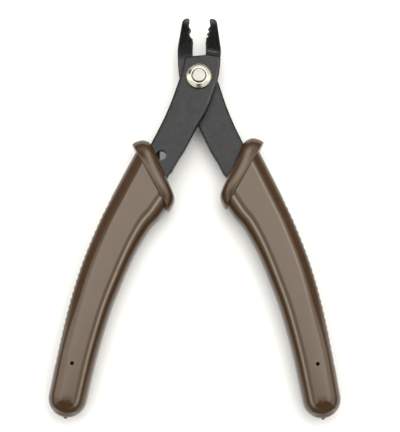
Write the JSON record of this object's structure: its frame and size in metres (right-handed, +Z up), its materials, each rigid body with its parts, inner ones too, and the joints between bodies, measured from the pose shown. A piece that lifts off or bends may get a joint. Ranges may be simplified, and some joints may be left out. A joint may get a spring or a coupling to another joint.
{
  "type": "crimping pliers",
  "caption": "Slim lap-jointed pliers with stepped-in jaws notched for folding crimp beads, a washered pivot pin and curved moulded grips with slanted thumb guards.",
  "frame": {"origin": "centre of the footprint of the tool as it lies open, on the surface it lies on", "axes": "+Y towards the jaws, along the tool's middle line; +X to the side of the jaw that belongs to the front lever; +Z up, along the pivot axis, from the rear lever to the front lever"},
  "size_m": [0.0874, 0.124, 0.0128],
  "materials": {
    "blackened_steel": "black oxide, satin, worn lighter at the edges",
    "plated_pin": "bright nickel plate with a warm tint",
    "plated_washer": "bright nickel plate with a warm tint",
    "brown_grip": "dipped and moulded brown vinyl, semi-gloss"
  },
  "bodies": {
    "front_half": {"front_lever": "blackened_steel", "left_grip": "brown_grip", "pivot_pin": "plated_pin", "front_dome_washer": "plated_washer", "rear_dome_washer": "plated_washer"},
    "rear_half": {"rear_lever": "blackened_steel", "right_grip": "brown_grip"}
  },
  "joints": [
    {"name": "pivot", "type": "hinge", "parent": "front_half", "child": "rear_half", "pos_m": [0.00016, 0.04269, 0.0064], "axis": [0, 0, 1], "range_deg": [-18.6, 0]}
  ]
}
